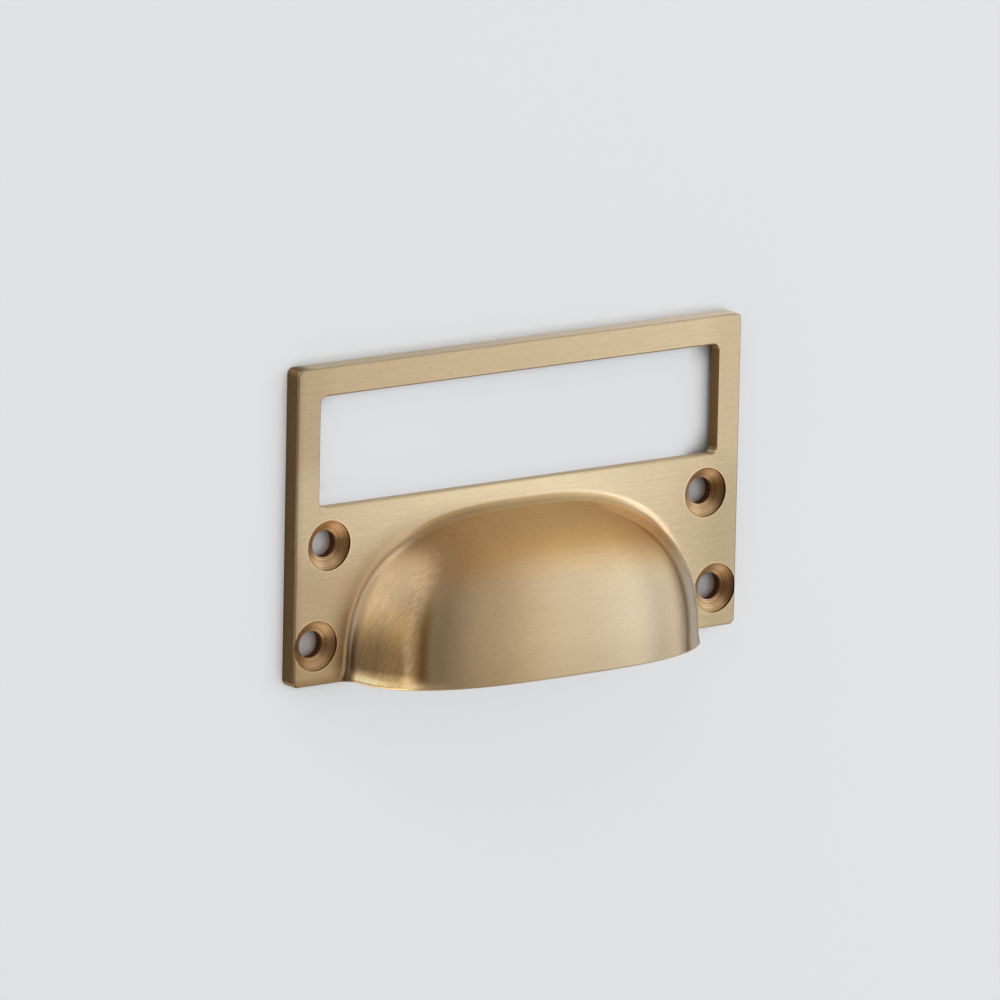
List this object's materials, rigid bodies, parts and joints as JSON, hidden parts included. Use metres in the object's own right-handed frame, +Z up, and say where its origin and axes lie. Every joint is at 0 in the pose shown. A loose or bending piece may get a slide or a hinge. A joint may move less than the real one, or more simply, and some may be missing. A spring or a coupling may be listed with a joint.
{
  "type": "label frame pull",
  "caption": "Cast brass drawer pull: flat plate with a label window above a rounded half-cup finger grip, countersunk screw holes on both sides.",
  "frame": {"origin": "on the mounting face, midway between the two upper screw holes", "axes": "+X along the drawer front, to the right as seen from the front; +Y into the drawer, out of the mounting face; +Z up"},
  "size_m": [0.076, 0.0164, 0.0452],
  "materials": {
    "satin_brass": "satin brushed brass, brushed along the plate, with dark as-cast sides"
  },
  "bodies": {
    "root": {"label_frame_pull": "satin_brass"}
  },
  "joints": []
}
